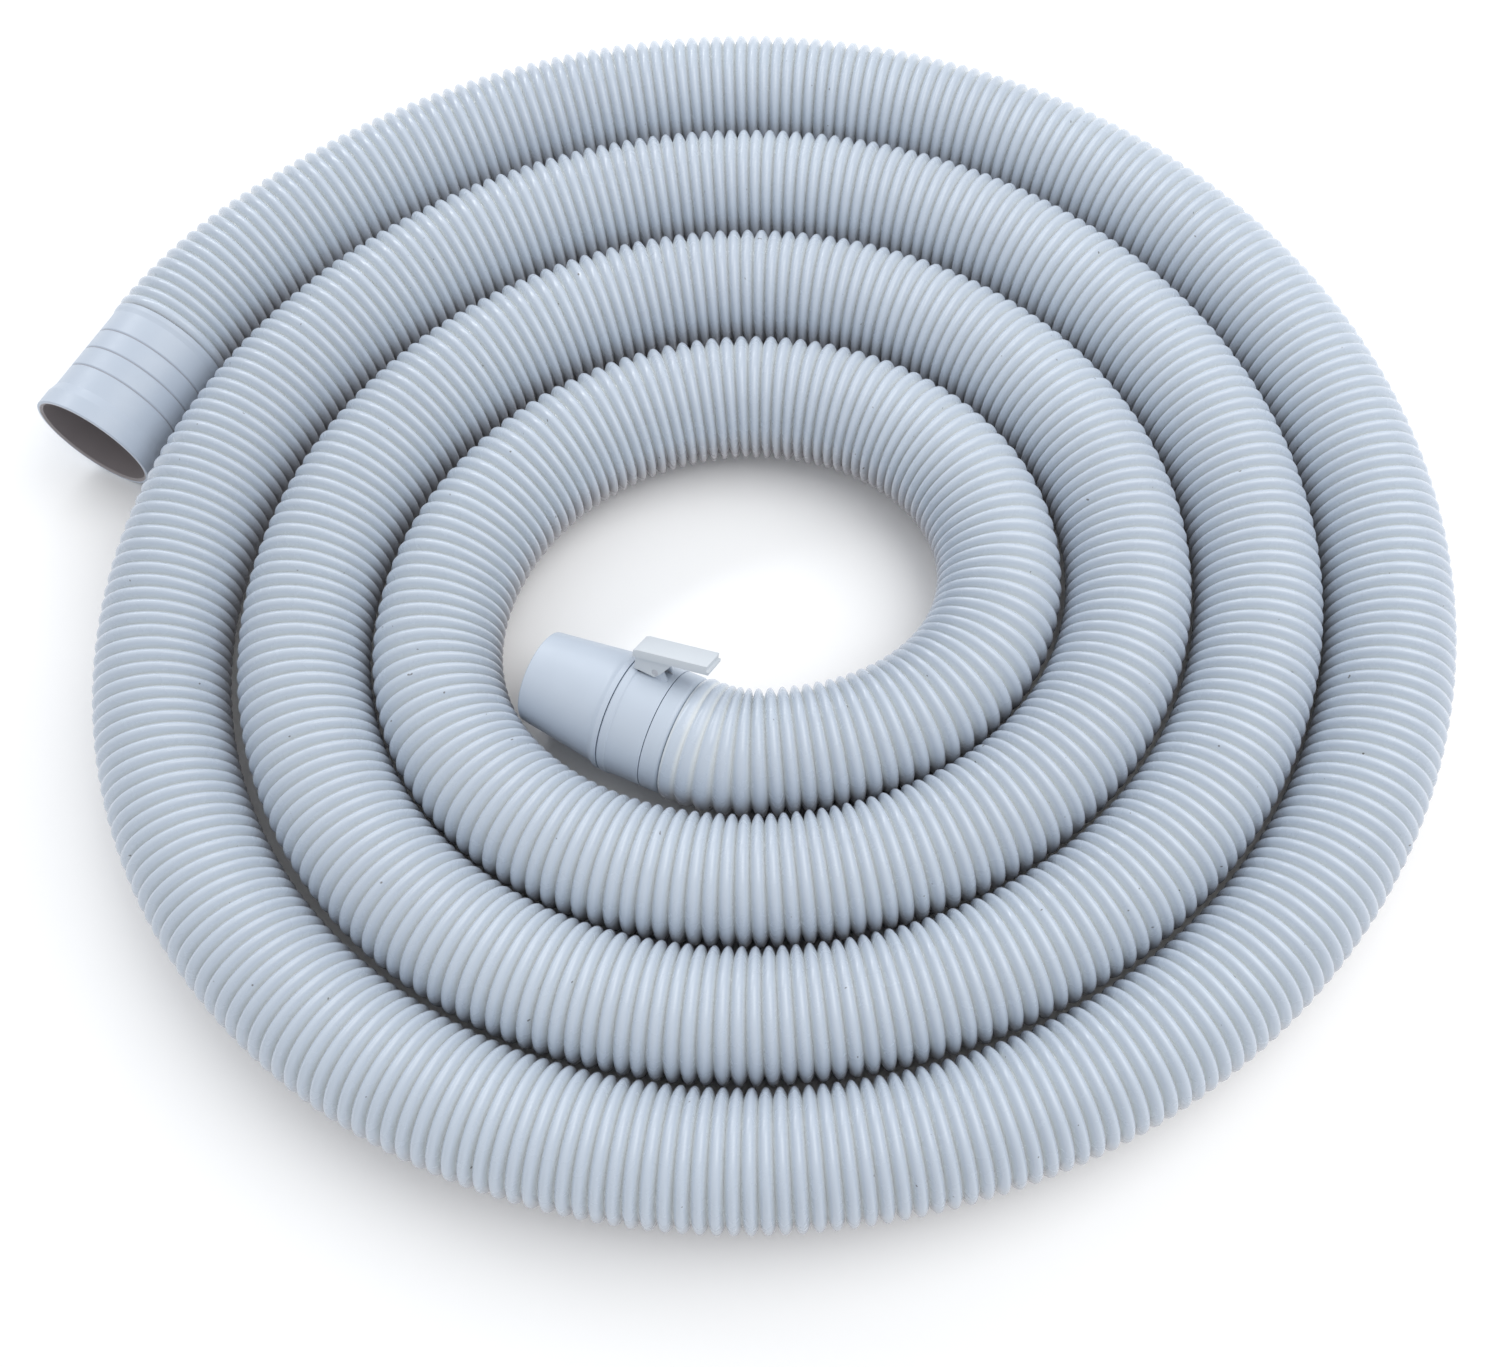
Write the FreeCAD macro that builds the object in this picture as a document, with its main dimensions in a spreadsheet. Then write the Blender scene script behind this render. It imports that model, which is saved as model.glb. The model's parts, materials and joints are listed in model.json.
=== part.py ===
import FreeCAD, Part
import math
import os

import Sketcher

# A corrugated vacuum hose, coiled flat on the floor, with a swivel cuff on its outer end and a
# tapered nozzle in a quick-release collar on its inner end.
# Millimetres. +Z is up, the floor is Z = 0, and the origin is under the middle of the coil.

SIZES = {
    # hose
    "hose_radius": 18.9,
    "hose_bore_radius": 16.0,
    # coil: radius of the centreline against the angle wound, from the cuff inwards
    "coil_centre_x": 4.95,
    "coil_centre_y": -10.13,
    "coil_first_angle": 39.0,
    "coil_last_angle": 1344.0,
    "coil_points_per_turn": 24,
    "coil_start_radius": 209.0,
    "coil_turn_pitch": 40.67,
    "coil_drift_x": -1.38,
    "coil_drift_y": -2.13,
    "coil_oval": 5.82,
    "coil_oval_growth": -0.18,
    "coil_skew": -1.73,
    "coil_skew_growth": -0.475,
    "coil_egg": -1.14,
    "coil_egg_growth": -0.3,
    "coil_tuck": 0.5,
    "coil_tuck_from": 1240.0,
    "coil_push": 2.3,
    "coil_push_angle": 1052.0,
    "coil_push_width": 25.0,
    # straight runs from the coil's ends to the fittings: length, and heading in degrees
    "cuff_run_a": 34.0,
    "cuff_run_a_heading": 230.0,
    "cuff_run_b": 18.0,
    "cuff_run_b_heading": 244.0,
    "nozzle_run_a": 8.6,
    "nozzle_run_a_heading": 176.7,
    "nozzle_run_b": 7.9,
    "nozzle_run_b_heading": 165.5,
    "nozzle_run_c": 6.7,
    "nozzle_run_c_heading": 155.5,
    # swivel cuff, measured from its hose side
    "sleeve_length": 42.0,
    "sleeve_radius": 18.2,
    "sleeve_flare_start": 33.5,
    "sleeve_flare_end": 36.5,
    "sleeve_mouth_radius": 18.8,
    "sleeve_lip_radius": 18.6,
    "sleeve_lip_length": 1.6,
    "socket_radius": 17.1,
    "socket_start": 16.0,
    "socket_chamfer": 0.6,
    "mouth_rounding": 0.4,
    "groove_depth": 0.35,
    "groove_width": 0.5,
    "groove_first": 10.6,
    "groove_pitch": 7.3,
    "sleeve_neck_radius": 15.3,
    "sleeve_neck_length": 2.4,
    "chamber_radius": 17.0,
    "chamber_end": 8.4,
    "clip_groove_radius": 17.5,
    "clip_groove_start": 5.3,
    "clip_groove_length": 1.4,
    "bush_radius": 15.9,
    "bush_bore_radius": 13.6,
    "bush_tail": 9.3,
    "bush_journal_radius": 15.2,
    "bush_flange_radius": 16.9,
    "bush_flange_start": 2.7,
    "bush_flange_length": 2.3,
    "bush_nose": 12.6,
    "lead_in": 0.5,
    "clip_radius": 16.9,
    "clip_wire": 0.5,
    "swivel_seal_x": 10.4,
    "swivel_seal_floor": 14.0,
    "seal_room": 0.8,
    "swivel_seal_radius": 14.65,
    "swivel_seal_wire": 0.6,
    # nozzle end, measured from the seam between hose cuff and collar
    "joint_gap": 0.3,
    "hose_cuff_length": 5.7,
    "hose_cuff_radius": 18.2,
    "hose_cuff_rounding": 1.4,
    "hose_cuff_tail": 11.7,
    "journal_radius": 15.5,
    "journal_length": 7.6,
    "journal_bore_radius": 13.9,
    "journal_bore_depth": 2.2,
    "tail_bore_radius": 13.4,
    "snap_groove_radius": 15.0,
    "snap_groove_start": 2.2,
    "snap_groove_length": 1.5,
    "snap_ring_radius": 15.7,
    "snap_ring_wire": 0.4,
    "collar_length": 13.5,
    "collar_radius": 18.2,
    "collar_bore_radius": 15.6,
    "collar_band_radius": 18.55,
    "collar_band_start": 11.2,
    "collar_band_length": 1.9,
    "collar_band_step": 0.35,
    "collar_groove_radius": 16.5,
    "window_start": 9.0,
    "window_length": 3.5,
    "window_width": 5.6,
    "hub_radius": 15.5,
    "hub_start": 8.1,
    "latch_groove_radius": 14.3,
    "latch_groove_start": 8.9,
    "latch_groove_length": 3.6,
    "spigot_radius": 13.8,
    "spigot_tail": 1.6,
    "nozzle_bore_radius": 12.0,
    "seal_groove_radius": 12.9,
    "seal_groove_start": 3.4,
    "seal_groove_length": 1.6,
    "nozzle_seal_radius": 13.4,
    "nozzle_seal_wire": 0.45,
    "nozzle_shoulder_start": 13.8,
    "nozzle_shoulder_radius": 18.4,
    "nozzle_shoulder_length": 1.5,
    "nozzle_root_radius": 17.3,
    "nozzle_root_start": 17.0,
    "nozzle_tip_radius": 14.1,
    "nozzle_tip_start": 41.5,
    "nozzle_tip_rounding": 0.5,
    "nozzle_root_rounding": 3.0,
    # release lever, in the plane through the nozzle's axis; heights are from that axis
    "lever_roll": 31.0,
    "pin_x": 5.6,
    "pin_height": 20.2,
    "pin_radius": 0.9,
    "pin_hole_radius": 0.95,
    "pin_length": 6.8,
    "lever_width": 8.5,
    "lever_slot_width": 5.2,
    "lever_eye_radius": 1.6,
    "paddle_end_x": -9.4,
    "paddle_end_under": 27.0,
    "paddle_end_top": 29.6,
    "paddle_lip": 0.8,
    "paddle_lip_thickness": 1.0,
    "paddle_bevel": 1.2,
    "paddle_bevel_fall": 0.6,
    "paddle_front_under": 23.0,
    "web_back_x": 0.6,
    "web_top": 25.4,
    "slot_top": 23.9,
    "post_width": 7.0,
    "post_inset": 0.8,
    "post_back_x": 9.1,
    "post_front_x": 12.9,
    "post_foot": 18.9,
    "post_top": 25.8,
    "tooth_front_x": 10.4,
    "tooth_height": 14.75,
    "tooth_width": 4.6,
    "fin_thickness": 0.9,
    "fin_spacing": 3.2,
    "fin_back_x": 2.0,
    "fin_front_x": 7.6,
    "fin_top": 22.2,
    "fin_foot": 17.4,
    "lever_spring_wire": 0.25,
    "lever_spring_radius": 1.35,
    "lever_spring_turns": 3.5,
    "lever_spring_pitch": 0.58,
    "lever_spring_leg": 3.6,
}

doc = FreeCAD.newDocument("VacuumHose")
sheet = doc.addObject("Spreadsheet::Sheet", "Sizes")
for row, (alias, value) in enumerate(SIZES.items(), start=1):
    sheet.set(f"A{row}", alias)
    sheet.set(f"B{row}", str(value))
    sheet.setAlias(f"B{row}", alias)
doc.recompute()


def size(alias):
    """A driving dimension, read back from the sheet."""
    return float(sheet.get(alias))


def total(words):
    """The sum of some aliases, each taken away if it has a minus sign in front."""
    return sum(-size(word[1:]) if word[0] == "-" else size(word) for word in words.split())


def formula(words):
    """The same sum as an expression on the sheet."""
    terms = [f"- Sizes.{word[1:]}" if word[0] == "-" else f"+ Sizes.{word}" for word in words.split()]
    return " ".join(["0"] + terms)


# ---------------------------------------------------------------- helpers for the sub-parts


def new_body(label):
    body = doc.addObject("PartDesign::Body", label)
    body.Label = label
    return body


def origin_plane(body, role):
    return next(f for f in body.Origin.OriginFeatures if f.Role == role)


def outline_sketch(body, name, role, corners):
    """A closed outline on an origin plane. Each corner is a pair of sums of aliases."""
    sketch = body.newObject("Sketcher::SketchObject", name)
    sketch.AttachmentSupport = (origin_plane(body, role), [""])
    sketch.MapMode = "FlatFace"
    points = [FreeCAD.Vector(total(across), total(up), 0) for across, up in corners]
    count = len(points)
    for i in range(count):
        sketch.addGeometry(Part.LineSegment(points[i], points[(i + 1) % count]), False)
    for i in range(count):
        following = (i + 1) % count
        sketch.addConstraint(Sketcher.Constraint("Coincident", i, 2, following, 1))
    for i, (across, up) in enumerate(corners):
        for kind, words, value in (("DistanceX", across, points[i].x), ("DistanceY", up, points[i].y)):
            index = sketch.addConstraint(Sketcher.Constraint(kind, -1, 1, i, 1, value))
            if words:
                sketch.setExpression(f"Constraints[{index}]", formula(words))
    doc.recompute()
    return sketch


def revolved(label, corners):
    """A ring turned about the body's X axis; corners are (distance along X, radius)."""
    body = new_body(label)
    sketch = outline_sketch(body, f"{label}_outline", "XY_Plane", corners)
    turn = body.newObject("PartDesign::Revolution", f"{label}_turn")
    turn.Profile = sketch
    turn.ReferenceAxis = (sketch, ["H_Axis"])
    turn.Angle = 360
    doc.recompute()
    return body


def pad(body, name, corners, width):
    """Adds a side outline, in the body's XZ plane, padded evenly to both sides of it."""
    sketch = outline_sketch(body, f"{name}_outline", "XZ_Plane", corners)
    feature = body.newObject("PartDesign::Pad", name)
    feature.Profile = sketch
    feature.Midplane = True
    feature.setExpression("Length", formula(width))
    doc.recompute()
    return feature


def pocket(body, name, corners, width):
    """Cuts a side outline, in the body's XZ plane, evenly to both sides of it."""
    before = body.Shape.Volume
    sketch = outline_sketch(body, f"{name}_outline", "XZ_Plane", corners)
    feature = body.newObject("PartDesign::Pocket", name)
    feature.Profile = sketch
    feature.Midplane = True
    feature.setExpression("Length", formula(width))
    doc.recompute()
    if body.Shape.Volume >= before:
        raise RuntimeError(f"{name} cut nothing")
    return feature


def cross_hole(body, name, across, up, radius, length):
    """A round hole along Y through the body."""
    hole = body.newObject("PartDesign::SubtractiveCylinder", name)
    hole.setExpression("Radius", formula(radius))
    hole.setExpression("Height", formula(length))
    hole.Placement = FreeCAD.Placement(
        FreeCAD.Vector(total(across), total(length) / 2, total(up)),
        FreeCAD.Rotation(FreeCAD.Vector(1, 0, 0), 90),
    )
    hole.setExpression(".Placement.Base.x", formula(across))
    hole.setExpression(".Placement.Base.z", formula(up))
    doc.recompute()
    return hole


def ring_edges(shape, places):
    """The names of a shape's full-circle edges at the given (distance along X, radius) places."""
    names = []
    for i, edge in enumerate(shape.Edges, start=1):
        if not isinstance(edge.Curve, Part.Circle):
            continue
        for across, radius in places:
            near = abs(edge.Curve.Center.x - total(across)) < 1e-4
            if near and abs(edge.Curve.Radius - total(radius)) < 1e-4:
                names.append(f"Edge{i}")
    return names


def soften(body, kind, name, edges, amount):
    """A fillet or chamfer on named edges of the body's last feature."""
    feature = body.newObject(f"PartDesign::{kind}", name)
    feature.Base = (body.Group[-2], edges)
    feature.setExpression("Radius" if kind == "Fillet" else "Size", formula(amount))
    doc.recompute()
    return feature


def ring(label, radius, wire):
    """A round ring about the X axis."""
    torus = doc.addObject("Part::Torus", label)
    torus.Label = label
    torus.setExpression("Radius1", formula(radius))
    torus.setExpression("Radius2", formula(wire))
    return torus


# ---------------------------------------------------------------- the hose


def coil_radius(angle):
    """How far the hose's centreline is from the coil's centre, by the angle wound from its left."""
    turns = angle / 360
    a = math.radians(angle)
    radius = size("coil_start_radius") - size("coil_turn_pitch") * turns
    # The turns drift and grow oval as they wind, as loose turns do.
    radius += turns * (size("coil_drift_x") * math.cos(a) + size("coil_drift_y") * math.sin(a))
    radius += (size("coil_oval") + size("coil_oval_growth") * turns) * math.cos(2 * a)
    radius += (size("coil_skew") + size("coil_skew_growth") * turns) * math.sin(2 * a)
    radius += size("coil_egg") * math.sin(3 * a) + size("coil_egg_growth") * turns * math.cos(3 * a)
    # The last stretch tucks inwards, and the nozzle pushes the turn outside it a little outwards.
    tuck_span = size("coil_last_angle") - size("coil_tuck_from")
    tucked = max(0.0, (angle - size("coil_tuck_from")) / tuck_span)
    beside_nozzle = (angle - size("coil_push_angle")) / size("coil_push_width")
    return radius - size("coil_tuck") * tucked**2 + size("coil_push") * math.exp(-(beside_nozzle**2))


def run_on(start, name):
    """The end of a straight run from a point of the route, by the run's length and heading."""
    heading = math.radians(size(f"{name}_heading"))
    return start + FreeCAD.Vector(math.cos(heading), math.sin(heading), 0) * size(name)


def hose_route():
    """The corners of the hose's route, which goes round just inside them."""
    step = 360 / size("coil_points_per_turn")
    count = round((size("coil_last_angle") - size("coil_first_angle")) / step)
    corner_stretch = 1 / math.cos(math.radians(step / 2))
    corners = []
    for i in range(count + 1):
        angle = size("coil_first_angle") + i * step
        radius = coil_radius(angle) * corner_stretch
        x = size("coil_centre_x") - radius * math.cos(math.radians(angle))
        y = size("coil_centre_y") + radius * math.sin(math.radians(angle))
        corners.append(FreeCAD.Vector(x, y, size("hose_radius")))
    for name in ("cuff_run_a", "cuff_run_b"):
        corners.insert(0, run_on(corners[0], name))
    for name in ("nozzle_run_a", "nozzle_run_b", "nozzle_run_c"):
        corners.append(run_on(corners[-1], name))
    return corners


def rounded_path(corners):
    """Straight runs joined by tangent arcs, and the arcs' radii."""
    edges, radii = [], []
    start = corners[0]
    for i in range(1, len(corners) - 1):
        back = corners[i - 1] - corners[i]
        ahead = corners[i + 1] - corners[i]
        trim = 0.45 * min(back.Length, ahead.Length)
        half_turn = (math.pi - back.getAngle(ahead)) / 2
        radii.append(trim / math.tan(half_turn))
        arc_start = corners[i] + back.normalize() * trim
        arc_end = corners[i] + ahead.normalize() * trim
        inward = (back + ahead).normalize()
        depth = radii[-1] / math.cos(half_turn) - radii[-1]
        edges.append(Part.LineSegment(start, arc_start).toShape())
        edges.append(Part.Arc(arc_start, corners[i] + inward * depth, arc_end).toShape())
        start = arc_end
    edges.append(Part.LineSegment(start, corners[-1]).toShape())
    return Part.Wire(edges), radii


def swept_solid(path, radius):
    """A round rod along the path."""
    start = path.Edges[0].valueAt(path.Edges[0].FirstParameter)
    heading = path.Edges[0].tangentAt(path.Edges[0].FirstParameter)
    profile = Part.Wire([Part.makeCircle(radius, start, heading)])
    sweep = Part.BRepOffsetAPI.MakePipeShell(path)
    sweep.setFrenetMode(True)
    sweep.add(profile)
    sweep.build()
    sweep.makeSolid()
    return sweep.shape()


route = hose_route()
hose_path, hose_bends = rounded_path(route)
hose = doc.addObject("Part::Feature", "hose")
hose.Label = "hose"
hose.Shape = swept_solid(hose_path, size("hose_radius")).cut(
    swept_solid(hose_path, size("hose_bore_radius"))
)
section = math.pi * (size("hose_radius") ** 2 - size("hose_bore_radius") ** 2)
print("hose length", round(hose_path.Length, 1), "mm; bend radii", round(min(hose_bends), 1), "to",
      round(max(hose_bends), 1), "mm")
print("hose volume over section times length", round(hose.Shape.Volume / (section * hose_path.Length), 4))


# ---------------------------------------------------------------- swivel cuff
# Its own X axis runs out along the hose's axis, from the cuff's hose side to its mouth.

sleeve_outline = [
    ("", "sleeve_neck_radius"),
    ("sleeve_neck_length", "sleeve_neck_radius"),
    ("sleeve_neck_length", "chamber_radius"),
    ("clip_groove_start", "chamber_radius"),
    ("clip_groove_start", "clip_groove_radius"),
    ("clip_groove_start clip_groove_length", "clip_groove_radius"),
    ("clip_groove_start clip_groove_length", "chamber_radius"),
    ("chamber_end", "chamber_radius"),
    ("chamber_end", "sleeve_neck_radius"),
    ("socket_start", "sleeve_neck_radius"),
    ("socket_start", "socket_radius"),
    ("sleeve_length -socket_chamfer", "socket_radius"),
    ("sleeve_length", "socket_radius socket_chamfer"),
    ("sleeve_length", "sleeve_mouth_radius"),
    ("sleeve_flare_end", "sleeve_mouth_radius"),
    ("sleeve_flare_start", "sleeve_radius"),
]
for groove in ("groove_pitch groove_pitch", "groove_pitch", ""):
    place = f"groove_first {groove}".strip()
    sleeve_outline += [
        (f"{place} groove_width groove_width", "sleeve_radius"),
        (f"{place} groove_width", "sleeve_radius -groove_depth"),
        (place, "sleeve_radius"),
    ]
sleeve_outline += [
    ("sleeve_lip_length sleeve_lip_length", "sleeve_radius"),
    ("sleeve_lip_length", "sleeve_lip_radius"),
    ("", "sleeve_lip_radius"),
]
sleeve = revolved("swivel_sleeve", sleeve_outline)
soften(
    sleeve,
    "Fillet",
    "sleeve_mouth_rounding",
    ring_edges(sleeve.Shape, [("sleeve_length", "sleeve_mouth_radius"), ("", "sleeve_lip_radius")]),
    "mouth_rounding",
)

bush = revolved(
    "swivel_bush",
    [
        ("-bush_tail", "bush_bore_radius"),
        ("bush_nose", "bush_bore_radius"),
        ("bush_nose", "bush_journal_radius"),
        ("swivel_seal_x seal_room", "bush_journal_radius"),
        ("swivel_seal_x seal_room", "swivel_seal_floor"),
        ("swivel_seal_x -seal_room", "swivel_seal_floor"),
        ("swivel_seal_x -seal_room", "bush_journal_radius"),
        ("bush_flange_start bush_flange_length", "bush_journal_radius"),
        ("bush_flange_start bush_flange_length", "bush_flange_radius"),
        ("bush_flange_start", "bush_flange_radius"),
        ("bush_flange_start", "bush_journal_radius"),
        ("-joint_gap", "bush_journal_radius"),
        ("-joint_gap", "bush_radius"),
        ("-bush_tail", "bush_radius"),
    ],
)
soften(
    bush,
    "Chamfer",
    "bush_lead_in",
    ring_edges(bush.Shape, [("-bush_tail", "bush_radius"), ("bush_nose", "bush_journal_radius")]),
    "lead_in",
)
clip_ring = ring("swivel_clip_ring", "clip_radius", "clip_wire")
swivel_seal = ring("swivel_seal", "swivel_seal_radius", "swivel_seal_wire")


# ---------------------------------------------------------------- nozzle end
# Its own X axis runs along the nozzle to the tip, from the seam between hose cuff and collar.

hose_cuff = revolved(
    "hose_cuff",
    [
        ("-hose_cuff_tail", "tail_bore_radius"),
        ("-journal_bore_depth", "tail_bore_radius"),
        ("-journal_bore_depth", "journal_bore_radius"),
        ("journal_length", "journal_bore_radius"),
        ("journal_length", "journal_radius"),
        ("snap_groove_start snap_groove_length", "journal_radius"),
        ("snap_groove_start snap_groove_length", "snap_groove_radius"),
        ("snap_groove_start", "snap_groove_radius"),
        ("snap_groove_start", "journal_radius"),
        ("", "journal_radius"),
        ("", "hose_cuff_radius"),
        ("-hose_cuff_length", "hose_cuff_radius"),
        ("-hose_cuff_length", "bush_radius"),
        ("-hose_cuff_tail", "bush_radius"),
    ],
)
soften(
    hose_cuff,
    "Fillet",
    "hose_cuff_shoulder",
    ring_edges(hose_cuff.Shape, [("-hose_cuff_length", "hose_cuff_radius")]),
    "hose_cuff_rounding",
)
snap_ring = ring("snap_ring", "snap_ring_radius", "snap_ring_wire")

collar = revolved(
    "lock_collar",
    [
        ("joint_gap", "collar_bore_radius"),
        ("snap_groove_start", "collar_bore_radius"),
        ("snap_groove_start", "collar_groove_radius"),
        ("snap_groove_start snap_groove_length", "collar_groove_radius"),
        ("snap_groove_start snap_groove_length", "collar_bore_radius"),
        ("collar_length", "collar_bore_radius"),
        ("collar_length", "collar_radius"),
        ("collar_band_start collar_band_length", "collar_band_radius"),
        ("collar_band_start", "collar_band_radius"),
        ("collar_band_start -collar_band_step", "collar_radius"),
        ("joint_gap", "collar_radius"),
    ],
)
pad(
    collar,
    "fins",
    [
        ("fin_back_x", "fin_foot"),
        ("fin_front_x", "fin_foot"),
        ("fin_front_x", "fin_top"),
        ("pin_x -pin_radius", "fin_top"),
        ("fin_back_x", "collar_radius"),
    ],
    "fin_spacing fin_thickness fin_thickness",
)
pocket(
    collar,
    "fin_gap",
    [
        ("fin_back_x -fin_thickness", "collar_radius"),
        ("fin_front_x fin_thickness", "collar_radius"),
        ("fin_front_x fin_thickness", "paddle_end_top"),
        ("fin_back_x -fin_thickness", "paddle_end_top"),
    ],
    "fin_spacing",
)
pocket(
    collar,
    "latch_window",
    [
        ("window_start", "latch_groove_radius"),
        ("window_start window_length", "latch_groove_radius"),
        ("window_start window_length", "paddle_end_top"),
        ("window_start", "paddle_end_top"),
    ],
    "window_width",
)
cross_hole(collar, "fin_holes", "pin_x", "pin_height", "pin_hole_radius", "lever_width")

nozzle = revolved(
    "nozzle",
    [
        ("-spigot_tail", "nozzle_bore_radius"),
        ("nozzle_tip_start", "nozzle_bore_radius"),
        ("nozzle_tip_start", "nozzle_tip_radius"),
        ("nozzle_root_start", "nozzle_root_radius"),
        ("nozzle_shoulder_start nozzle_shoulder_length", "nozzle_shoulder_radius"),
        ("nozzle_shoulder_start", "nozzle_shoulder_radius"),
        ("nozzle_shoulder_start", "hub_radius"),
        ("latch_groove_start latch_groove_length", "hub_radius"),
        ("latch_groove_start latch_groove_length", "latch_groove_radius"),
        ("latch_groove_start", "latch_groove_radius"),
        ("latch_groove_start", "hub_radius"),
        ("hub_start", "hub_radius"),
        ("hub_start", "spigot_radius"),
        ("seal_groove_start seal_groove_length", "spigot_radius"),
        ("seal_groove_start seal_groove_length", "seal_groove_radius"),
        ("seal_groove_start", "seal_groove_radius"),
        ("seal_groove_start", "spigot_radius"),
        ("-spigot_tail", "spigot_radius"),
    ],
)
soften(
    nozzle,
    "Fillet",
    "tip_rounding",
    ring_edges(
        nozzle.Shape,
        [
            ("nozzle_tip_start", "nozzle_tip_radius"),
            ("nozzle_tip_start", "nozzle_bore_radius"),
            ("nozzle_shoulder_start nozzle_shoulder_length", "nozzle_shoulder_radius"),
        ],
    ),
    "nozzle_tip_rounding",
)
soften(
    nozzle,
    "Fillet",
    "root_rounding",
    ring_edges(nozzle.Shape, [("nozzle_root_start", "nozzle_root_radius")]),
    "nozzle_root_rounding",
)
nozzle_seal = ring("nozzle_seal", "nozzle_seal_radius", "nozzle_seal_wire")


# ---------------------------------------------------------------- release lever
# Built in the nozzle's own axes, with Z up through the lever.

lever = new_body("release_lever")
pad(
    lever,
    "paddle",
    [
        ("paddle_end_x -paddle_lip", "paddle_end_under"),
        ("post_front_x", "paddle_front_under"),
        ("post_front_x", "post_top -paddle_bevel_fall"),
        ("post_front_x -paddle_bevel", "post_top"),
        ("paddle_end_x", "paddle_end_top"),
        ("paddle_end_x", "paddle_end_under paddle_lip_thickness"),
        ("paddle_end_x -paddle_lip", "paddle_end_under paddle_lip_thickness"),
    ],
    "lever_width",
)
pad(
    lever,
    "post_and_webs",
    [
        ("web_back_x", "web_top"),
        ("pin_x -lever_eye_radius", "pin_height"),
        ("pin_x", "pin_height -lever_eye_radius"),
        ("post_back_x", "post_foot"),
        ("post_front_x -post_inset", "post_foot"),
        ("post_front_x -post_inset", "slot_top"),
    ],
    "post_width",
)
pocket(
    lever,
    "web_slot",
    [
        ("web_back_x", "post_foot -lever_eye_radius"),
        ("post_back_x", "post_foot -lever_eye_radius"),
        ("post_back_x", "slot_top"),
        ("web_back_x", "web_top"),
    ],
    "lever_slot_width",
)
pad(
    lever,
    "latch_tooth",
    [
        ("post_back_x", "tooth_height"),
        ("tooth_front_x", "tooth_height"),
        ("tooth_front_x", "slot_top"),
        ("post_back_x", "slot_top"),
    ],
    "tooth_width",
)
cross_hole(lever, "lever_eye", "pin_x", "pin_height", "pin_hole_radius", "lever_width")


# ---------------------------------------------------------------- pin and spring of the lever

lever_pin = doc.addObject("Part::Cylinder", "lever_pin")
lever_pin.Label = "lever_pin"
lever_pin.setExpression("Radius", formula("pin_radius"))
lever_pin.setExpression("Height", formula("pin_length"))


def torsion_spring():
    """A coil round the pin, with one leg down the collar and one up under the paddle."""
    wire = size("lever_spring_wire")
    radius = size("lever_spring_radius")
    width = size("lever_spring_turns") * size("lever_spring_pitch")
    left_handed = True
    helix = Part.makeHelix(size("lever_spring_pitch"), width, radius, 0, left_handed)
    profile = Part.Wire([Part.makeCircle(wire, FreeCAD.Vector(radius, 0, 0), FreeCAD.Vector(0, 1, 0))])
    coil = Part.Wire(helix.Edges).makePipeShell([profile], True, True)
    coil.rotate(FreeCAD.Vector(0, 0, 0), FreeCAD.Vector(0, 0, 1), 90)
    leg = size("lever_spring_leg")
    back = FreeCAD.Vector(-1, 0, 0)
    back_and_up = FreeCAD.Vector(-2, -1, 0)
    lower = Part.makeCylinder(wire, leg, FreeCAD.Vector(0, radius, 0), back)
    upper = Part.makeCylinder(wire, leg, FreeCAD.Vector(0, -radius, width), back_and_up)
    return coil.fuse([lower, upper])


lever_spring = doc.addObject("Part::Feature", "lever_spring")
lever_spring.Label = "lever_spring"
lever_spring.Shape = torsion_spring()


# ---------------------------------------------------------------- places


def along(direction, place, distance=0.0):
    """A placement whose X axis follows a level direction."""
    heading = math.degrees(math.atan2(direction.y, direction.x))
    turn = FreeCAD.Rotation(FreeCAD.Vector(0, 0, 1), heading)
    return FreeCAD.Placement(place + direction * distance, turn)


outwards = (route[0] - route[1]).normalize()
cuff_place = along(outwards, route[0], size("joint_gap"))
inwards = (route[-1] - route[-2]).normalize()
seam_distance = size("hose_cuff_length") + size("joint_gap")
nozzle_place = along(inwards, route[-1], seam_distance)
lever_turn = FreeCAD.Placement(
    FreeCAD.Vector(0, 0, 0), FreeCAD.Rotation(FreeCAD.Vector(1, 0, 0), size("lever_roll"))
)
lever_place = nozzle_place.multiply(lever_turn)
ring_turn = FreeCAD.Rotation(FreeCAD.Vector(0, 1, 0), 90)
cross_turn = FreeCAD.Rotation(FreeCAD.Vector(1, 0, 0), -90)


def ring_place(base, across):
    """The place of a ring about the base's X axis, some way along it."""
    return base.multiply(FreeCAD.Placement(FreeCAD.Vector(across, 0, 0), ring_turn))


def pin_place(across):
    """A place on the lever pin's axis, with Z along the pin."""
    centre = FreeCAD.Vector(size("pin_x"), across, size("pin_height"))
    return lever_place.multiply(FreeCAD.Placement(centre, cross_turn))


clip_x = size("clip_groove_start") + size("clip_groove_length") / 2
snap_x = size("snap_groove_start") + size("snap_groove_length") / 2
seal_x = size("seal_groove_start") + size("seal_groove_length") / 2
spring_half = size("lever_spring_turns") * size("lever_spring_pitch") / 2
places = {
    sleeve: cuff_place,
    bush: cuff_place,
    clip_ring: ring_place(cuff_place, clip_x),
    swivel_seal: ring_place(cuff_place, size("swivel_seal_x")),
    hose_cuff: nozzle_place,
    snap_ring: ring_place(nozzle_place, snap_x),
    collar: lever_place,
    nozzle: nozzle_place,
    nozzle_seal: ring_place(nozzle_place, seal_x),
    lever: lever_place,
    lever_pin: pin_place(-size("pin_length") / 2),
    lever_spring: pin_place(-spring_half),
}
for part, place in places.items():
    part.Placement = place
doc.recompute()


# ---------------------------------------------------------------- checks and files

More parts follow.
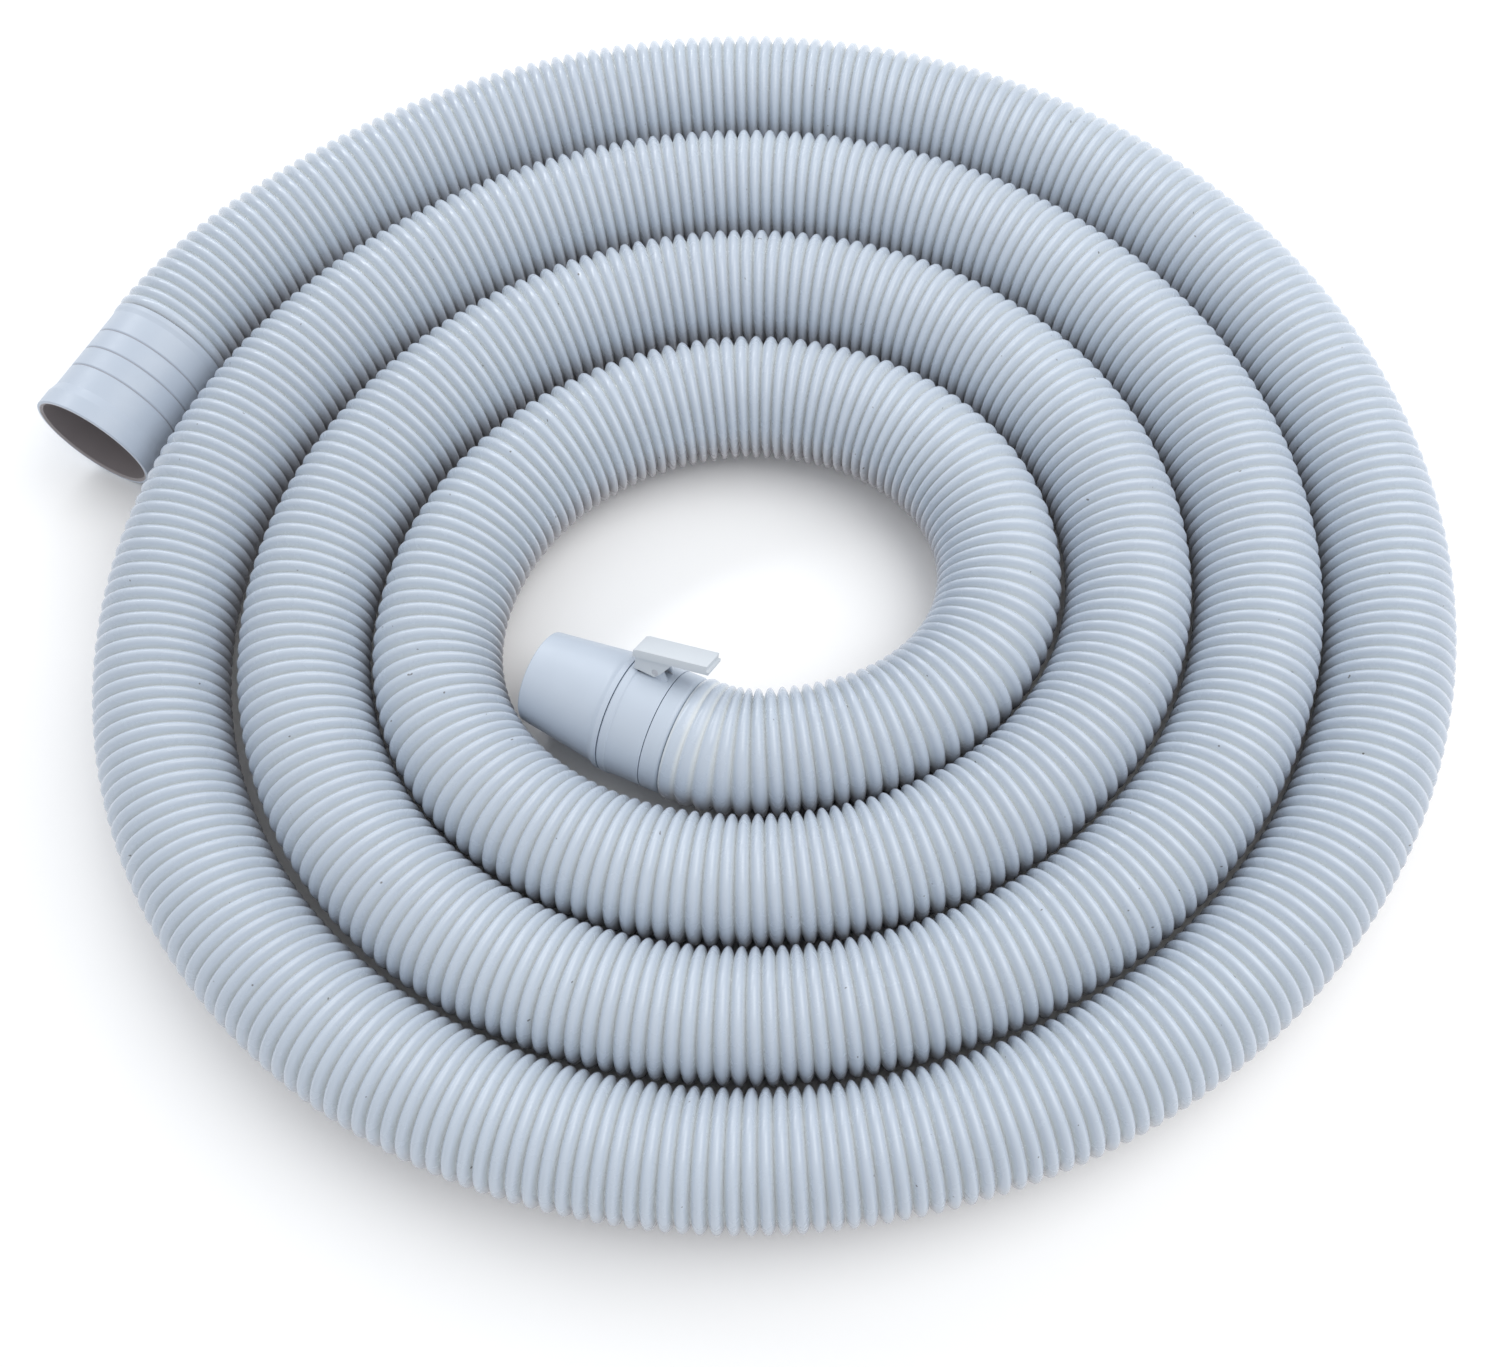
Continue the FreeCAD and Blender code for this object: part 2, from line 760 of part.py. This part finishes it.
failed = [o.Label for o in doc.Objects if {"Invalid", "Error"} & set(o.State)]
if failed:
    raise RuntimeError(f"these objects failed: {failed}")

parts = [hose, *places]
for part in parts:
    if part.Shape.isNull() or not part.Shape.isValid() or len(part.Shape.Solids) != 1:
        raise RuntimeError(f"{part.Label} is not one valid solid")

os.makedirs("parts", exist_ok=True)
for part in parts:
    part.Shape.exportStep(f"parts/{part.Label}.step")

whole = FreeCAD.BoundBox()
for part in parts:
    whole.add(part.Shape.optimalBoundingBox(False))
    print(f"{part.Label}: {part.Shape.Volume / 1000:.2f} cm3")
print("box", [round(v, 2) for v in (whole.XMin, whole.YMin, whole.ZMin, whole.XMax, whole.YMax, whole.ZMax)])
print("cuff at", cuff_place.Base, "outwards", outwards)
print("nozzle at", nozzle_place.Base, "inwards", inwards)
pin_at = pin_place(0.0)
print("pin at", pin_at.Base, "axis", pin_at.Rotation.multVec(FreeCAD.Vector(0, 0, 1)))
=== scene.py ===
import json
import math

import bmesh
import bpy
import numpy as np
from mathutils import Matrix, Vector


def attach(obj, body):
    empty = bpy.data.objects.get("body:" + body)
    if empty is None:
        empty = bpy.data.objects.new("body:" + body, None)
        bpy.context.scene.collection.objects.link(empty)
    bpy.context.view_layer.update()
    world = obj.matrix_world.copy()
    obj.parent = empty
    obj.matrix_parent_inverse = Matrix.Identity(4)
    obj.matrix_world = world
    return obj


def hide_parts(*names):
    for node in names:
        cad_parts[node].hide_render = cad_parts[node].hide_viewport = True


# A white corrugated vacuum hose, coiled flat on a pale floor. Metres; Z is up and the floor is Z = 0.

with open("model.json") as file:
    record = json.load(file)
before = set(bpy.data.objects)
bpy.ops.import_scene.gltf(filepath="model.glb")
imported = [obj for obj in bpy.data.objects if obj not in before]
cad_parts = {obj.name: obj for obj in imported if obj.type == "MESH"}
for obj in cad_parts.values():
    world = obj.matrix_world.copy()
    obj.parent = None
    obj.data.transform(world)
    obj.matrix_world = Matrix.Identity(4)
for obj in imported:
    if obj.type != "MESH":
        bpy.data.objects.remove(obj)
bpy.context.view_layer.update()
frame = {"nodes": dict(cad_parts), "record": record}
MM = 0.001

# ---------------------------------------------------------------- the hose's route

CREST_RADIUS = 18.9 * MM
COIL_CENTRE = Vector((4.95 * MM, -10.13 * MM, CREST_RADIUS))
FIRST_ANGLE, LAST_ANGLE, POINTS_PER_TURN = 39, 1344, 24
# The coil's radius in millimetres, rounded from a fit of its outline: the drift is sideways per turn,
# the oval and the skew repeat twice a turn, and the egg three times.
START_RADIUS, TURN_PITCH = 209, 40.67
DRIFT_X, DRIFT_Y = -1.38, -2.13
OVAL, OVAL_GROWTH = 5.82, -0.18
SKEW, SKEW_GROWTH = -1.73, -0.475
EGG, EGG_GROWTH = -1.14, -0.3
# The last turn is tucked in at its end, and the turn beside the nozzle is pushed out to clear it.
TUCK, TUCK_FROM = 0.5, 1240
PUSH, PUSH_ANGLE, PUSH_WIDTH = 2.3, 1052, 25
CUFF_RUNS = [(34 * MM, 230), (18 * MM, 244)]
NOZZLE_RUNS = [(8.6 * MM, 176.7), (7.9 * MM, 165.5), (6.7 * MM, 155.5)]


def coil_radius(angle):
    """How far the centreline is from the coil's centre, by the angle wound inwards from its left."""
    turns = angle / 360
    a = math.radians(angle)
    radius = START_RADIUS - TURN_PITCH * turns
    radius += turns * (DRIFT_X * math.cos(a) + DRIFT_Y * math.sin(a))
    radius += (OVAL + OVAL_GROWTH * turns) * math.cos(2 * a)
    radius += (SKEW + SKEW_GROWTH * turns) * math.sin(2 * a)
    radius += EGG * math.sin(3 * a) + EGG_GROWTH * turns * math.cos(3 * a)
    radius -= TUCK * max(0, (angle - TUCK_FROM) / (LAST_ANGLE - TUCK_FROM)) ** 2
    radius += PUSH * math.exp(-(((angle - PUSH_ANGLE) / PUSH_WIDTH) ** 2))
    return radius * MM


def level(heading):
    """The level direction of a heading in degrees."""
    return Vector((math.cos(math.radians(heading)), math.sin(math.radians(heading)), 0))


def hose_route():
    """The control points of the hose's line, from the swivel cuff in to the nozzle."""
    step = 360 / POINTS_PER_TURN
    corner_stretch = 1 / math.cos(math.radians(step / 2))
    points = []
    for i in range(round((LAST_ANGLE - FIRST_ANGLE) / step) + 1):
        angle = FIRST_ANGLE + i * step
        points.append(COIL_CENTRE + level(180 - angle) * coil_radius(angle) * corner_stretch)
    for length, heading in CUFF_RUNS:
        points.insert(0, points[0] + level(heading) * length)
    for length, heading in NOZZLE_RUNS:
        points.append(points[-1] + level(heading) * length)
    return points


def spline_points(points):
    """Close points along the smooth curve that has these control points."""
    curve = bpy.data.curves.new("hose_line", "CURVE")
    curve.dimensions = "3D"
    spline = curve.splines.new("NURBS")
    spline.points.add(len(points) - 1)
    for control, point in zip(spline.points, points):
        control.co = (*point, 1)
    spline.order_u = 3
    spline.use_endpoint_u = True
    spline.resolution_u = 12
    line = bpy.data.objects.new("hose_line", curve)
    mesh = bpy.data.meshes.new_from_object(line)
    places = np.array([vertex.co for vertex in mesh.vertices])
    bpy.data.objects.remove(line)
    bpy.data.curves.remove(curve)
    bpy.data.meshes.remove(mesh)
    return places


route = hose_route()
hose_line = spline_points(route)

# ---------------------------------------------------------------- camera

CAMERA_ELEVATION = 68.5
CAMERA_DISTANCE = 444.6 * MM
CAMERA_TARGET = Vector((27.9 * MM, -71.1 * MM, 0))
CAMERA_LENS = 35.4
SENSOR_WIDTH = 36
CAMERA_SHIFT = (-0.0467, 0.069)
NEAR_CLIP = 10 * MM

camera = bpy.data.objects.new("camera", bpy.data.cameras.new("camera"))
bpy.context.scene.collection.objects.link(camera)
tilt = math.radians(CAMERA_ELEVATION)
camera.location = CAMERA_TARGET + CAMERA_DISTANCE * Vector((0, -math.cos(tilt), math.sin(tilt)))
camera.rotation_euler = (math.pi / 2 - tilt, 0, 0)
camera.data.lens = CAMERA_LENS
camera.data.sensor_width = SENSOR_WIDTH
camera.data.shift_x, camera.data.shift_y = CAMERA_SHIFT
camera.data.clip_start = NEAR_CLIP
bpy.context.scene.camera = camera

# ---------------------------------------------------------------- materials


class Shading:
    """A node material with helpers that add its nodes."""

    def __init__(self, name):
        self.material = bpy.data.materials.new(name)
        self.material.use_nodes = True
        self.nodes = self.material.node_tree.nodes
        self.links = self.material.node_tree.links
        self.shader = self.nodes["Principled BSDF"]
        self.place = self.nodes.new("ShaderNodeTexCoord").outputs["Object"]

    def link(self, output, target):
        self.links.new(output, target)

    def noise(self, scale, detail=4.0, roughness=0.55):
        node = self.nodes.new("ShaderNodeTexNoise")
        node.inputs["Scale"].default_value = scale
        node.inputs["Detail"].default_value = detail
        node.inputs["Roughness"].default_value = roughness
        self.link(self.place, node.inputs["Vector"])
        return node.outputs["Fac"]

    def ramp(self, factor, low, high, from_value, to_value):
        """Maps a factor's low..high to two values."""
        node = self.nodes.new("ShaderNodeMapRange")
        node.inputs["From Min"].default_value = low
        node.inputs["From Max"].default_value = high
        node.inputs["To Min"].default_value = from_value
        node.inputs["To Max"].default_value = to_value
        self.link(factor, node.inputs["Value"])
        return node.outputs["Result"]

    def mix(self, factor, first, second):
        """Blends two colours, each a colour or another node's output."""
        node = self.nodes.new("ShaderNodeMix")
        node.data_type = "RGBA"
        self.link(factor, node.inputs["Factor"])
        for name, colour in (("A", first), ("B", second)):
            socket = next(s for s in node.inputs if s.name == name and s.type == "RGBA")
            if isinstance(colour, tuple):
                socket.default_value = (*colour, 1)
            else:
                self.link(colour, socket)
        return next(s for s in node.outputs if s.type == "RGBA")

    def attribute(self, name):
        node = self.nodes.new("ShaderNodeAttribute")
        node.attribute_name = name
        return node.outputs["Fac"]

    def within(self, point, axis, radius):
        """1 inside a cylinder about a line, fading to 0 just outside it."""
        from_point = self.vector_math("SUBTRACT", self.place, point)
        across = self.vector_math("CROSS_PRODUCT", from_point.outputs["Vector"], axis)
        distance = self.vector_math("LENGTH", across.outputs["Vector"]).outputs["Value"]
        return self.ramp(distance, radius, radius + 0.3 * MM, 1, 0)

    def vector_math(self, operation, vector, constant=(0, 0, 0)):
        node = self.nodes.new("ShaderNodeVectorMath")
        node.operation = operation
        self.link(vector, node.inputs[0])
        node.inputs[1].default_value = constant
        return node

    def bump(self, height, distance, strength=1.0):
        node = self.nodes.new("ShaderNodeBump")
        node.inputs["Strength"].default_value = strength
        node.inputs["Distance"].default_value = distance
        self.link(height, node.inputs["Height"])
        self.link(node.outputs["Normal"], self.shader.inputs["Normal"])


WHITE = (0.535, 0.60, 0.685)
SHADE_WHITE = (0.50, 0.56, 0.645)
CUFF_WHITE = (0.46, 0.52, 0.61)
# Painted light for the grooves: lighter than the body and faintly yellowed.
GROOVE_YELLOWING_AND_PAINTED_LIGHT = (0.70, 0.735, 0.745)
# Painted shade for the hose's underside.
UNDERSIDE_PAINTED_SHADE = (0.40, 0.375, 0.38)
SPECK = (0.12, 0.11, 0.10)
# Painted shade for the inside of the fittings' bores.
BORE_PAINTED_SHADE = (0.29, 0.26, 0.265)
LEVER_WHITE, LEVER_SHADE = (0.62, 0.66, 0.70), (0.59, 0.63, 0.67)
BEARING_DARK, BEARING_LIGHT = (0.16, 0.14, 0.13), (0.2, 0.18, 0.17)
DARK_STEEL, BRIGHT_STEEL = (0.55, 0.55, 0.56), (0.68, 0.68, 0.7)
RUBBER, RUBBER_BLOOM = (0.02, 0.02, 0.02), (0.05, 0.05, 0.05)
FLOOR_SHADE, FLOOR_WHITE = (0.97, 0.97, 0.97), (0.985, 0.985, 0.985)
# The smoothest and the roughest that each moulding gets.
FITTING_FINISH = (0.34, 0.46)
LEVER_FINISH = (0.3, 0.42)
BEARING_FINISH = (0.5, 0.65)


def hose_material():
    """Blown plastic: clouded blue-white, with painted light in its grooves (lighter and faintly yellowed),
    painted shade towards its underside, and a few dark specks.
    """
    shading = Shading("hose_plastic")
    cloudy = shading.ramp(shading.noise(14), 0.35, 0.65, 0, 1)
    body = shading.mix(cloudy, WHITE, SHADE_WHITE)
    # Painted light: the grooves are painted lighter, with a faint yellowing, which fills in the shade in
    # them.
    painted_light_grooves = shading.mix(shading.ramp(shading.attribute("groove"), 0.25, 0.8, 0, 0.9), body, GROOVE_YELLOWING_AND_PAINTED_LIGHT)
    # Painted shade: the colour turns darker and browner towards the hose's underside.
    painted_shade_below = shading.ramp(shading.attribute("underside"), -0.35, 0.35, 0, 0.85)
    shaded_underside = shading.mix(painted_shade_below, painted_light_grooves, UNDERSIDE_PAINTED_SHADE)
    specks = shading.ramp(shading.noise(420, 1), 0.79, 0.82, 0, 0.8)
    shading.link(shading.mix(specks, shaded_underside, SPECK), shading.shader.inputs["Base Color"])
    worn = shading.ramp(shading.noise(160, 6), 0.3, 0.7, 0.2, 0.32)
    shading.link(worn, shading.shader.inputs["Roughness"])
    shading.bump(shading.noise(900, 3), 0.02 * MM, 0.6)
    shading.shader.inputs["Specular IOR Level"].default_value = 0.5
    shading.shader.inputs["Coat Weight"].default_value = 0.25
    shading.shader.inputs["Coat Roughness"].default_value = 0.18
    return shading.material


def moulded_material(name, first, second, finish, bore=None):
    """Injection-moulded plastic, with a fine grain, faint clouding and painted shade in its bore."""
    shading = Shading(name)
    cloudy = shading.ramp(shading.noise(22), 0.35, 0.65, 0, 1)
    colour = shading.mix(cloudy, first, second)
    # Painted shade: inside the bore the colour is painted a dark grey-brown.
    if bore:
        colour = shading.mix(shading.within(*bore), colour, BORE_PAINTED_SHADE)
    shading.link(colour, shading.shader.inputs["Base Color"])
    worn = shading.ramp(shading.noise(240, 5), 0.3, 0.7, *finish)
    shading.link(worn, shading.shader.inputs["Roughness"])
    shading.bump(shading.noise(1600, 2), 0.015 * MM, 0.5)
    return shading.material


def steel_material():
    """Drawn spring wire."""
    shading = Shading("spring_steel")
    streaks = shading.ramp(shading.noise(700, 3), 0.3, 0.7, 0, 1)
    shading.link(shading.mix(streaks, DARK_STEEL, BRIGHT_STEEL), shading.shader.inputs["Base Color"])
    shading.link(shading.ramp(streaks, 0, 1, 0.28, 0.42), shading.shader.inputs["Roughness"])
    shading.shader.inputs["Metallic"].default_value = 1
    return shading.material


def rubber_material():
    """Black seal rubber."""
    shading = Shading("seal_rubber")
    bloom = shading.ramp(shading.noise(300, 4), 0.35, 0.7, 0, 1)
    shading.link(shading.mix(bloom, RUBBER, RUBBER_BLOOM), shading.shader.inputs["Base Color"])
    shading.link(shading.ramp(bloom, 0, 1, 0.55, 0.75), shading.shader.inputs["Roughness"])
    return shading.material


def floor_material():
    """A plain pale floor."""
    shading = Shading("floor")
    mottle = shading.ramp(shading.noise(3), 0.3, 0.7, 0, 1)
    shading.link(shading.mix(mottle, FLOOR_SHADE, FLOOR_WHITE), shading.shader.inputs["Base Color"])
    shading.shader.inputs["Roughness"].default_value = 0.8
    return shading.material


MATERIALS = {
    "hose_plastic": hose_material(),
    "fitting_plastic": moulded_material("fitting_plastic", WHITE, SHADE_WHITE, FITTING_FINISH),
    "lever_plastic": moulded_material("lever_plastic", LEVER_WHITE, LEVER_SHADE, LEVER_FINISH),
    "bearing_plastic": moulded_material("bearing_plastic", BEARING_DARK, BEARING_LIGHT, BEARING_FINISH),
    "seal_rubber": rubber_material(),
    "spring_steel": steel_material(),
}

mounts = {mount["name"]: mount for mount in frame["record"]["mounts"]}


def bore_shaded_fitting(name, colour, mount, radius):
    """The fittings' plastic in one colour, with painted shade inside the bore that a mount is in."""
    bore = (mounts[mount]["pos_m"], mounts[mount]["axis"], radius)
    return moulded_material(name, colour, SHADE_WHITE, FITTING_FINISH, bore)


NODE_MATERIALS = {
    "swivel_sleeve": bore_shaded_fitting("fitting_plastic_cuff", CUFF_WHITE, "cuff_socket", 17.75 * MM),
    "nozzle": bore_shaded_fitting("fitting_plastic_nozzle", WHITE, "nozzle_tip", 12.1 * MM),
}
for part in frame["record"]["subparts"]:
    node = frame["nodes"][part["node"]]
    node.data.materials.clear()
    node.data.materials.append(NODE_MATERIALS.get(part["node"], MATERIALS[part["material_slot"]]))

# ---------------------------------------------------------------- the hose

RING_PITCH = 4.1 * MM
GROOVE_DEPTH = 2.85 * MM
BORE_RADIUS = 15.95 * MM
SIDES = 48
# Places along one ring, from its groove over its crest.
RING_ROWS = (0, 0.05, 0.13, 0.24, 0.36, 0.5, 0.64, 0.76, 0.87, 0.95)
# The grooves are shallower at the hose's ends, down to these shares of their depth.
EASED_RINGS = 4
NOZZLE_END_SHARE, CUFF_END_SHARE = 0.3, 0.6
CREST_SHARPNESS = 2.2


def ring_height(u):
    """How high a ring stands at a place along it: a rounded crest between sharp grooves."""
    return 1 - abs(2 * u - 1) ** CREST_SHARPNESS


def hose_rows():
    """The hose's skin as rings of points: place along the line, radius, and how deep in a groove."""
    length = float(np.linalg.norm(np.diff(hose_line, axis=0), axis=1).sum())
    count = round(length / RING_PITCH)
    pitch = length / count
    rows = []
    for ring in range(count):
        to_nozzle = count - 1 - ring
        eased = min(1, NOZZLE_END_SHARE + (1 - NOZZLE_END_SHARE) * to_nozzle / EASED_RINGS)
        eased *= min(1, CUFF_END_SHARE + (1 - CUFF_END_SHARE) * ring)
        for u in RING_ROWS:
            deep = 1 - ring_height(u)
            rows.append(((ring + u) * pitch, CREST_RADIUS - GROOVE_DEPTH * eased * deep, deep))
    rows.append((length, CREST_RADIUS - GROOVE_DEPTH * NOZZLE_END_SHARE, 1))
    rows += [(ring * pitch, BORE_RADIUS, 0) for ring in range(count, -1, -1)]
    return rows


def swept_skin(name, line, rows):
    """A closed skin along a level line, from rings of points that end where they begin."""
    steps = np.linalg.norm(np.diff(line, axis=0), axis=1)
    travelled = np.concatenate([[0], np.cumsum(steps)])
    slopes = np.gradient(line, travelled, axis=0)
    places = np.array([row[0] for row in rows])
    radii = np.array([row[1] for row in rows])[:, None, None]
    centres = np.column_stack([np.interp(places, travelled, line[:, k]) for k in range(3)])
    ahead = np.column_stack([np.interp(places, travelled, slopes[:, k]) for k in range(3)])
    ahead /= np.linalg.norm(ahead, axis=1)[:, None]
    up = np.array([0, 0, 1.0])
    across = np.cross(ahead, up)
    turn = np.linspace(0, 2 * math.pi, SIDES, endpoint=False)[None, :, None]
    around = across[:, None, :] * np.cos(turn) + up * np.sin(turn)
    vertices = (centres[:, None, :] + around * radii).reshape(-1, 3)
    here = np.arange(len(rows))[:, None] * SIDES
    following = np.roll(here, -1)
    side = np.arange(SIDES)[None, :]
    beside = np.roll(side, -1)
    faces = np.stack([here + side, here + beside, following + beside, following + side], axis=-1)
    mesh = bpy.data.meshes.new(name)
    mesh.from_pydata(vertices.tolist(), [], faces.reshape(-1, 4).tolist())
    mesh.polygons.foreach_set("use_smooth", np.ones(len(mesh.polygons), bool))
    depth = mesh.attributes.new("groove", "FLOAT", "POINT")
    depth.data.foreach_set("value", np.repeat([row[2] for row in rows], SIDES).astype(np.float32))
    underside = mesh.attributes.new("underside", "FLOAT", "POINT")
    underside.data.foreach_set("value", np.tile(-np.sin(turn).ravel(), len(rows)).astype(np.float32))
    return mesh


hose = bpy.data.objects.new("ringed_hose", swept_skin("ringed_hose", hose_line, hose_rows()))
bpy.context.scene.collection.objects.link(hose)
hose.data.materials.append(MATERIALS["hose_plastic"])
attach(hose, "hose_run")
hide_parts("hose")

# ---------------------------------------------------------------- moulded edges

MERGE_DISTANCE = 0.002 * MM
FLAT_WITHIN = math.radians(2)
ROUNDED_FROM = math.radians(28)
SHADED_SHARP_FROM = math.radians(35)


def rounded_copy(node, body, radius):
    """A piece with a CAD node's shape and its sharp edges rounded, standing for that node."""
    source = frame["nodes"][node]
    shape = bmesh.new()
    shape.from_mesh(source.data)
    bmesh.ops.remove_doubles(shape, verts=shape.verts, dist=MERGE_DISTANCE)
    bmesh.ops.dissolve_limit(shape, angle_limit=FLAT_WITHIN, verts=shape.verts, edges=shape.edges)
    sharp = [edge for edge in shape.edges if edge.is_manifold and edge.calc_face_angle() > ROUNDED_FROM]
    bmesh.ops.bevel(
        shape, geom=sharp, offset=radius, segments=3, profile=0.5, affect="EDGES", clamp_overlap=True
    )
    bmesh.ops.triangulate(shape, faces=[face for face in shape.faces if len(face.verts) > 4])
    mesh = bpy.data.meshes.new(f"moulded_{node}")
    shape.to_mesh(mesh)
    shape.free()
    mesh.shade_smooth()
    mesh.set_sharp_from_angle(angle=SHADED_SHARP_FROM)
    piece = bpy.data.objects.new(f"moulded_{node}", mesh)
    bpy.context.scene.collection.objects.link(piece)
    piece.data.materials.append(source.data.materials[0])
    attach(piece, body)
    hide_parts(node)
    return piece


lever = rounded_copy("release_lever", "lever", 0.3 * MM)
collar = rounded_copy("lock_collar", "collar", 0.12 * MM)

# ---------------------------------------------------------------- floor and light

FLOOR_REACH = 3.0
SKY_COLOUR = (0.95, 0.97, 1, 1)
SKY_STRENGTH = 0.77

floor_mesh = bpy.data.meshes.new("floor")
corners = [(x * FLOOR_REACH, y * FLOOR_REACH, 0) for x, y in ((-1, -1), (1, -1), (1, 1), (-1, 1))]
floor_mesh.from_pydata(corners, [], [(0, 1, 2, 3)])
floor = bpy.data.objects.new("floor", floor_mesh)
bpy.context.scene.collection.objects.link(floor)
floor.data.materials.append(floor_material())


def area_light(name, place, aim, size, energy, colour):
    """A soft rectangular light at a place, aimed at a point."""
    light = bpy.data.lights.new(name, "AREA")
    light.shape = "RECTANGLE"
    light.size, light.size_y = size
    light.energy = energy
    light.color = colour
    lamp = bpy.data.objects.new(name, light)
    lamp.location = place
    lamp.rotation_euler = (Vector(aim) - Vector(place)).to_track_quat("-Z", "Y").to_euler()
    bpy.context.scene.collection.objects.link(lamp)


area_light(
    "window", place=(0.5, 0.05, 0.75), aim=(0.1, -0.02, 0), size=(0.8, 0.8), energy=4, colour=(1, 0.99, 0.97)
)
area_light(
    "strip", place=(-0.5, 0.8, 0.7), aim=(0, 0, 0), size=(1.2, 0.12), energy=4, colour=(0.95, 0.97, 1)
)
world = bpy.data.worlds.new("studio")
world.use_nodes = True
world.node_tree.nodes["Background"].inputs["Color"].default_value = SKY_COLOUR
world.node_tree.nodes["Background"].inputs["Strength"].default_value = SKY_STRENGTH
bpy.context.scene.world = world
bpy.context.scene.view_settings.view_transform = "Standard"
